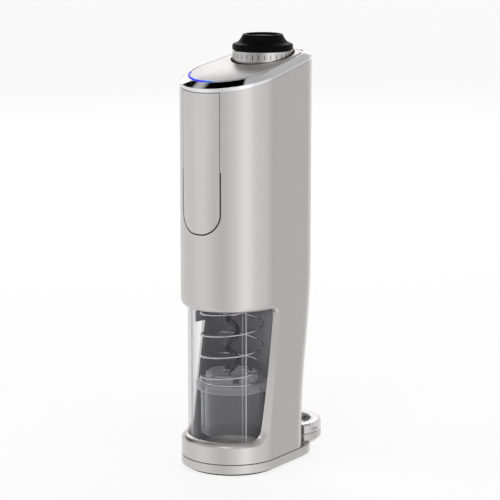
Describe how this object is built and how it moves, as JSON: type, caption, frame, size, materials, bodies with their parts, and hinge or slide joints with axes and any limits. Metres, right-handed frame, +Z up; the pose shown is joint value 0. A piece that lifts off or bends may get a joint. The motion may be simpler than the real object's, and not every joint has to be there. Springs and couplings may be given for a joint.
{
  "type": "electric wine opener",
  "caption": "Cordless electric wine opener in a charging base: worm and sprung neck guide in a clear chamber, vacuum stopper on the sloping top, foil cutter behind.",
  "frame": {"origin": "on the table under the base, on the axis of the worm and of the bottle's neck", "axes": "+Z up along the worm's axis; -Y is the front, with the paddle; +Y is the back, with the foil cutter; +X is the opener's left side seen from behind"},
  "size_m": [0.06, 0.1016, 0.2534],
  "materials": {
    "satin_silver": "satin metallic champagne-silver paint on moulded plastic",
    "bright_chrome": "mirror chrome plating",
    "brushed_plate": "finely brushed silver",
    "ring_steel": "brushed round the axis, with engraved day marks",
    "steel": "machined steel",
    "magnet": "sintered magnet",
    "brass": "turned brass",
    "clear_plastic": "clear polycarbonate",
    "smoke_plastic": "dark grey moulded plastic with a fine texture",
    "black_plastic": "black moulded plastic",
    "worm_coating": "non-stick black coating",
    "soft_rubber": "soft black rubber",
    "light_blue": "translucent light guide, lit blue at the front",
    "board_green": "circuit board",
    "cell_sleeve": "cells in a heat-shrunk sleeve"
  },
  "bodies": {
    "base": {"base_pad": "soft_rubber", "base_cover": "smoke_plastic", "base_shell": "satin_silver", "base_screws": "steel", "charge_board": "board_green", "charge_contacts": "brass", "power_jack": "black_plastic"},
    "foil_cutter": {"cutter_body": "satin_silver", "cutter_pins": "steel"},
    "wheel_1": {"cutter_wheel_1": "steel"},
    "wheel_2": {"cutter_wheel_2": "steel"},
    "wheel_3": {"cutter_wheel_3": "steel"},
    "wheel_4": {"cutter_wheel_4": "steel"},
    "opener": {"body_shell": "satin_silver", "chassis": "smoke_plastic", "spine_liner": "smoke_plastic", "shell_retainer": "smoke_plastic", "clear_shell": "clear_plastic", "contact_pads": "brass", "charge_leads": "black_plastic", "output_bush": "brass", "gear_housing": "smoke_plastic", "gear_screws": "steel", "motor_plate": "steel", "motor_can": "steel", "motor_magnets": "magnet", "battery_tray": "smoke_plastic", "battery_cells": "cell_sleeve", "upper_deck": "smoke_plastic", "pump_motor": "steel", "pump_body": "black_plastic", "pump_diaphragm": "soft_rubber", "port_boss": "black_plastic", "port_gasket": "smoke_plastic", "control_board": "board_green", "switches": "black_plastic", "paddle_pin": "steel", "bezel": "bright_chrome", "light_strip": "light_blue", "led_board": "board_green", "top_plate": "brushed_plate", "neck_spring": "steel"},
    "spindle": {"output_spindle": "steel", "planet_pins": "steel", "worm": "worm_coating"},
    "planet_gear_1": {"planet_1": "smoke_plastic"},
    "planet_gear_2": {"planet_2": "smoke_plastic"},
    "planet_gear_3": {"planet_3": "smoke_plastic"},
    "rotor": {"sun_gear": "steel", "motor_shaft": "steel", "armature": "brass"},
    "guide": {"neck_guide": "clear_plastic"},
    "rocker": {"paddle": "satin_silver"},
    "crank": {"pump_crank": "brass"},
    "stopper": {"stopper_core": "smoke_plastic", "stopper_plug": "soft_rubber", "stopper_cap": "soft_rubber"},
    "valve": {"stopper_valve": "black_plastic"},
    "dial": {"date_ring": "ring_steel"}
  },
  "joints": [
    {"name": "opener_lift", "type": "slide", "parent": "base", "child": "opener", "axis": [0, 0, 1], "range_m": [0, 0.12]},
    {"name": "cutter_lift", "type": "slide", "parent": "base", "child": "foil_cutter", "axis": [0, 0.6, 0.8], "range_m": [0, 0.04]},
    {"name": "wheel_1_spin", "type": "hinge", "parent": "foil_cutter", "child": "wheel_1", "pos_m": [0.01554, 0.05786, 0.0149], "axis": [0, 0, 1], "continuous": true},
    {"name": "wheel_2_spin", "type": "hinge", "parent": "foil_cutter", "child": "wheel_2", "pos_m": [0.00602, 0.06614, 0.0149], "axis": [0, 0, 1], "continuous": true},
    {"name": "wheel_3_spin", "type": "hinge", "parent": "foil_cutter", "child": "wheel_3", "pos_m": [-0.00602, 0.06614, 0.0149], "axis": [0, 0, 1], "continuous": true},
    {"name": "wheel_4_spin", "type": "hinge", "parent": "foil_cutter", "child": "wheel_4", "pos_m": [-0.01554, 0.05786, 0.0149], "axis": [0, 0, 1], "continuous": true},
    {"name": "worm_spin", "type": "hinge", "parent": "opener", "child": "spindle", "pos_m": [0, 0, 0.104], "axis": [0, 0, 1], "continuous": true},
    {"name": "rotor_spin", "type": "hinge", "parent": "opener", "child": "rotor", "pos_m": [0, 0, 0.14], "axis": [0, 0, 1], "continuous": true},
    {"name": "planet_1_spin", "type": "hinge", "parent": "spindle", "child": "planet_gear_1", "pos_m": [0.012, 0, 0.115], "axis": [0, 0, 1], "continuous": true},
    {"name": "planet_2_spin", "type": "hinge", "parent": "spindle", "child": "planet_gear_2", "pos_m": [-0.006, 0.01039, 0.115], "axis": [0, 0, 1], "continuous": true},
    {"name": "planet_3_spin", "type": "hinge", "parent": "spindle", "child": "planet_gear_3", "pos_m": [-0.006, -0.01039, 0.115], "axis": [0, 0, 1], "continuous": true},
    {"name": "guide_slide", "type": "slide", "parent": "opener", "child": "guide", "axis": [0, 0, 1], "range_m": [0, 0.033], "stiffness_N_per_m": 60, "springref_m": -0.015, "deforming": ["neck_spring"]},
    {"name": "paddle_rock", "type": "hinge", "parent": "opener", "child": "rocker", "pos_m": [0, -0.0218, 0.18315], "axis": [1, 0, 0], "range_deg": [-1.5, 1.5], "stiffness_Nm_per_rad": 0.6},
    {"name": "crank_spin", "type": "hinge", "parent": "opener", "child": "crank", "pos_m": [0, 0.0279, 0.2], "axis": [0, 0, 1], "continuous": true},
    {"name": "stopper_lift", "type": "slide", "parent": "opener", "child": "stopper", "axis": [0, 0, 1], "range_m": [0, 0.04]},
    {"name": "date_turn", "type": "hinge", "parent": "stopper", "child": "dial", "pos_m": [0, 0.0279, 0.24], "axis": [0, 0, 1], "continuous": true},
    {"name": "valve_press", "type": "slide", "parent": "stopper", "child": "valve", "axis": [0, 0, 1], "range_m": [-0.0012, 0], "stiffness_N_per_m": 150, "springref_m": 0.002}
  ],
  "couplings": [
    {"joint": "rotor_spin", "follows": "worm_spin", "ratio": 5},
    {"joint": "planet_1_spin", "follows": "worm_spin", "ratio": -2.6667},
    {"joint": "planet_2_spin", "follows": "worm_spin", "ratio": -2.6667},
    {"joint": "planet_3_spin", "follows": "worm_spin", "ratio": -2.6667}
  ]
}
